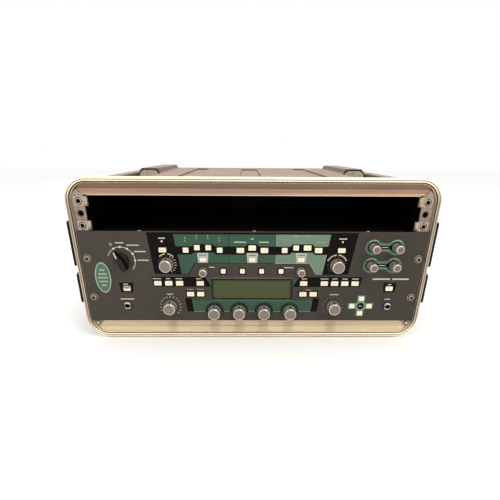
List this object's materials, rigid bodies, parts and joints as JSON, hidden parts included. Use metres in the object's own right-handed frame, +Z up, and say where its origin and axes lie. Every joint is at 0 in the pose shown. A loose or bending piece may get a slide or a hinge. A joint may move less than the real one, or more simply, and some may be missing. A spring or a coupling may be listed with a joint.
{
  "type": "rack effects unit",
  "caption": "Three-unit effects processor with knobs, sprung keys, jacks and a display, screwed into an open-fronted moulded rack case with latches and a lift-off rear cover.",
  "frame": {"origin": "on the floor, under the middle of the case's bounding box", "axes": "+X to the right as seen from the front, +Y from the front panel to the rear cover, +Z up"},
  "size_m": [0.5194, 0.467, 0.2328],
  "materials": {
    "taupe_plastic": "pebbled rotational moulding, dull",
    "rim_metal": "brushed extrusion, champagne tint",
    "rail_steel": "satin plated steel",
    "panel_paint": "fine textured dark grey paint with printed fields",
    "dark_steel": "black coated sheet",
    "board_green": "solder mask",
    "supply_case": "plain folded sheet",
    "key_cap": "translucent warm white, lit from behind",
    "knob_metal": "turned, bright chamfer",
    "black_plastic": "satin moulding",
    "nickel": "nickel plate",
    "screen_glass": "olive unlit display"
  },
  "bodies": {
    "case": {"case_shell": "taupe_plastic", "front_rim": "rim_metal", "rail_left": "rail_steel", "rail_right": "rail_steel", "top_bar": "rail_steel", "bottom_bar": "rail_steel", "front_panel": "panel_paint", "chassis": "dark_steel", "top_cover": "dark_steel", "rear_panel": "dark_steel", "front_board": "board_green", "main_board": "board_green", "power_supply": "supply_case", "screen_module": "screen_glass", "input_jack": "nickel", "phones_jack": "nickel", "rack_screw_1": "nickel", "rack_screw_2": "nickel", "rack_screw_3": "nickel", "rack_screw_4": "nickel"},
    "rear_cover": {"rear_cover": "taupe_plastic"},
    "front_latch_left": {"front_latch_left": "black_plastic"},
    "front_latch_right": {"front_latch_right": "black_plastic"},
    "rear_latch_left": {"rear_latch_left": "black_plastic"},
    "rear_latch_right": {"rear_latch_right": "black_plastic"},
    "mode_selector": {"mode_selector": "black_plastic"},
    "input_knob": {"input_knob": "knob_metal"},
    "output_knob": {"output_knob": "knob_metal"},
    "gain_knob": {"gain_knob": "knob_metal"},
    "volume_knob": {"volume_knob": "knob_metal"},
    "type_knob": {"type_knob": "knob_metal"},
    "browse_knob": {"browse_knob": "knob_metal"},
    "soft_knob_1": {"soft_knob_1": "knob_metal"},
    "soft_knob_2": {"soft_knob_2": "knob_metal"},
    "soft_knob_3": {"soft_knob_3": "knob_metal"},
    "soft_knob_4": {"soft_knob_4": "knob_metal"},
    "effect_knob_1": {"effect_knob_1": "knob_metal"},
    "effect_knob_2": {"effect_knob_2": "knob_metal"},
    "effect_knob_3": {"effect_knob_3": "knob_metal"},
    "effect_knob_4": {"effect_knob_4": "knob_metal"},
    "input_key": {"input_key": "key_cap"},
    "output_key": {"output_key": "key_cap"},
    "soft_key_1": {"soft_key_1": "key_cap"},
    "soft_key_2": {"soft_key_2": "key_cap"},
    "soft_key_3": {"soft_key_3": "key_cap"},
    "soft_key_4": {"soft_key_4": "key_cap"},
    "section_key_1": {"section_key_1": "key_cap"},
    "section_key_2": {"section_key_2": "key_cap"},
    "section_key_3": {"section_key_3": "key_cap"},
    "tap_key": {"tap_key": "key_cap"},
    "exit_key": {"exit_key": "key_cap"},
    "nav_key_up": {"nav_key_up": "key_cap"},
    "nav_key_down": {"nav_key_down": "key_cap"},
    "nav_key_left": {"nav_key_left": "key_cap"},
    "nav_key_right": {"nav_key_right": "key_cap"},
    "stomp_keys": {"stomp_keys": "key_cap"},
    "stack_keys": {"stack_keys": "key_cap"},
    "effect_keys": {"effect_keys": "key_cap"},
    "left_row_keys": {"left_row_keys": "key_cap"},
    "right_row_keys": {"right_row_keys": "key_cap"}
  },
  "joints": [
    {"name": "rear_cover_lift_off", "type": "slide", "parent": "case", "child": "rear_cover", "axis": [0, 1, 0], "range_m": [0, 0.06]},
    {"name": "front_latch_left_swing", "type": "hinge", "parent": "case", "child": "front_latch_left", "pos_m": [-0.2535, -0.1445, 0.1143], "axis": [0, 0, -1], "range_deg": [0, 95]},
    {"name": "front_latch_right_swing", "type": "hinge", "parent": "case", "child": "front_latch_right", "pos_m": [0.2535, -0.1445, 0.1143], "axis": [0, 0, 1], "range_deg": [0, 95]},
    {"name": "rear_latch_left_swing", "type": "hinge", "parent": "case", "child": "rear_latch_left", "pos_m": [-0.2545, 0.1535, 0.1143], "axis": [0, 0, 1], "range_deg": [0, 95]},
    {"name": "rear_latch_right_swing", "type": "hinge", "parent": "case", "child": "rear_latch_right", "pos_m": [0.2545, 0.1535, 0.1143], "axis": [0, 0, -1], "range_deg": [0, 95]},
    {"name": "mode_selector_turn", "type": "hinge", "parent": "case", "child": "mode_selector", "pos_m": [-0.1855, -0.2165, 0.12075], "axis": [0, 1, 0], "range_deg": [0, 120]},
    {"name": "input_knob_turn", "type": "hinge", "parent": "case", "child": "input_knob", "pos_m": [-0.1225, -0.2165, 0.11575], "axis": [0, 1, 0], "range_deg": [-150, 150]},
    {"name": "output_knob_turn", "type": "hinge", "parent": "case", "child": "output_knob", "pos_m": [0.118, -0.2165, 0.11475], "axis": [0, 1, 0], "range_deg": [-150, 150]},
    {"name": "gain_knob_turn", "type": "hinge", "parent": "case", "child": "gain_knob", "pos_m": [-0.1222, -0.2165, 0.05205], "axis": [0, 1, 0], "continuous": true},
    {"name": "volume_knob_turn", "type": "hinge", "parent": "case", "child": "volume_knob", "pos_m": [0.1186, -0.2165, 0.05195], "axis": [0, 1, 0], "continuous": true},
    {"name": "type_knob_turn", "type": "hinge", "parent": "case", "child": "type_knob", "pos_m": [-0.0716, -0.2165, 0.10505], "axis": [0, 1, 0], "continuous": true},
    {"name": "browse_knob_turn", "type": "hinge", "parent": "case", "child": "browse_knob", "pos_m": [0.0674, -0.2165, 0.10545], "axis": [0, 1, 0], "continuous": true},
    {"name": "soft_knob_1_turn", "type": "hinge", "parent": "case", "child": "soft_knob_1", "pos_m": [-0.0576, -0.2165, 0.04425], "axis": [0, 1, 0], "continuous": true},
    {"name": "soft_knob_2_turn", "type": "hinge", "parent": "case", "child": "soft_knob_2", "pos_m": [-0.0209, -0.2165, 0.04425], "axis": [0, 1, 0], "continuous": true},
    {"name": "soft_knob_3_turn", "type": "hinge", "parent": "case", "child": "soft_knob_3", "pos_m": [0.0159, -0.2165, 0.04425], "axis": [0, 1, 0], "continuous": true},
    {"name": "soft_knob_4_turn", "type": "hinge", "parent": "case", "child": "soft_knob_4", "pos_m": [0.0543, -0.2165, 0.04425], "axis": [0, 1, 0], "continuous": true},
    {"name": "effect_knob_1_turn", "type": "hinge", "parent": "case", "child": "effect_knob_1", "pos_m": [0.167, -0.2165, 0.14025], "axis": [0, 1, 0], "range_deg": [-150, 150]},
    {"name": "effect_knob_2_turn", "type": "hinge", "parent": "case", "child": "effect_knob_2", "pos_m": [0.1992, -0.2165, 0.14025], "axis": [0, 1, 0], "range_deg": [-150, 150]},
    {"name": "effect_knob_3_turn", "type": "hinge", "parent": "case", "child": "effect_knob_3", "pos_m": [0.167, -0.2165, 0.11455], "axis": [0, 1, 0], "range_deg": [-150, 150]},
    {"name": "effect_knob_4_turn", "type": "hinge", "parent": "case", "child": "effect_knob_4", "pos_m": [0.1992, -0.2165, 0.11455], "axis": [0, 1, 0], "range_deg": [-150, 150]},
    {"name": "input_key_press", "type": "slide", "parent": "case", "child": "input_key", "axis": [0, 1, 0], "range_m": [0, 0.001], "stiffness_N_per_m": 400, "springref_m": -0.0005},
    {"name": "output_key_press", "type": "slide", "parent": "case", "child": "output_key", "axis": [0, 1, 0], "range_m": [0, 0.001], "stiffness_N_per_m": 400, "springref_m": -0.0005},
    {"name": "soft_key_1_press", "type": "slide", "parent": "case", "child": "soft_key_1", "axis": [0, 1, 0], "range_m": [0, 0.001], "stiffness_N_per_m": 400, "springref_m": -0.0005},
    {"name": "soft_key_2_press", "type": "slide", "parent": "case", "child": "soft_key_2", "axis": [0, 1, 0], "range_m": [0, 0.001], "stiffness_N_per_m": 400, "springref_m": -0.0005},
    {"name": "soft_key_3_press", "type": "slide", "parent": "case", "child": "soft_key_3", "axis": [0, 1, 0], "range_m": [0, 0.001], "stiffness_N_per_m": 400, "springref_m": -0.0005},
    {"name": "soft_key_4_press", "type": "slide", "parent": "case", "child": "soft_key_4", "axis": [0, 1, 0], "range_m": [0, 0.001], "stiffness_N_per_m": 400, "springref_m": -0.0005},
    {"name": "section_key_1_press", "type": "slide", "parent": "case", "child": "section_key_1", "axis": [0, 1, 0], "range_m": [0, 0.001], "stiffness_N_per_m": 400, "springref_m": -0.0005},
    {"name": "section_key_2_press", "type": "slide", "parent": "case", "child": "section_key_2", "axis": [0, 1, 0], "range_m": [0, 0.001], "stiffness_N_per_m": 400, "springref_m": -0.0005},
    {"name": "section_key_3_press", "type": "slide", "parent": "case", "child": "section_key_3", "axis": [0, 1, 0], "range_m": [0, 0.001], "stiffness_N_per_m": 400, "springref_m": -0.0005},
    {"name": "tap_key_press", "type": "slide", "parent": "case", "child": "tap_key", "axis": [0, 1, 0], "range_m": [0, 0.001], "stiffness_N_per_m": 400, "springref_m": -0.0005},
    {"name": "exit_key_press", "type": "slide", "parent": "case", "child": "exit_key", "axis": [0, 1, 0], "range_m": [0, 0.001], "stiffness_N_per_m": 400, "springref_m": -0.0005},
    {"name": "nav_key_up_press", "type": "slide", "parent": "case", "child": "nav_key_up", "axis": [0, 1, 0], "range_m": [0, 0.001], "stiffness_N_per_m": 400, "springref_m": -0.0005},
    {"name": "nav_key_down_press", "type": "slide", "parent": "case", "child": "nav_key_down", "axis": [0, 1, 0], "range_m": [0, 0.001], "stiffness_N_per_m": 400, "springref_m": -0.0005},
    {"name": "nav_key_left_press", "type": "slide", "parent": "case", "child": "nav_key_left", "axis": [0, 1, 0], "range_m": [0, 0.001], "stiffness_N_per_m": 400, "springref_m": -0.0005},
    {"name": "nav_key_right_press", "type": "slide", "parent": "case", "child": "nav_key_right", "axis": [0, 1, 0], "range_m": [0, 0.001], "stiffness_N_per_m": 400, "springref_m": -0.0005},
    {"name": "stomp_keys_press", "type": "slide", "parent": "case", "child": "stomp_keys", "axis": [0, 1, 0], "range_m": [0, 0.001], "stiffness_N_per_m": 900, "springref_m": -0.0005},
    {"name": "stack_keys_press", "type": "slide", "parent": "case", "child": "stack_keys", "axis": [0, 1, 0], "range_m": [0, 0.001], "stiffness_N_per_m": 900, "springref_m": -0.0005},
    {"name": "effect_keys_press", "type": "slide", "parent": "case", "child": "effect_keys", "axis": [0, 1, 0], "range_m": [0, 0.001], "stiffness_N_per_m": 900, "springref_m": -0.0005},
    {"name": "left_row_keys_press", "type": "slide", "parent": "case", "child": "left_row_keys", "axis": [0, 1, 0], "range_m": [0, 0.001], "stiffness_N_per_m": 900, "springref_m": -0.0005},
    {"name": "right_row_keys_press", "type": "slide", "parent": "case", "child": "right_row_keys", "axis": [0, 1, 0], "range_m": [0, 0.001], "stiffness_N_per_m": 900, "springref_m": -0.0005}
  ]
}
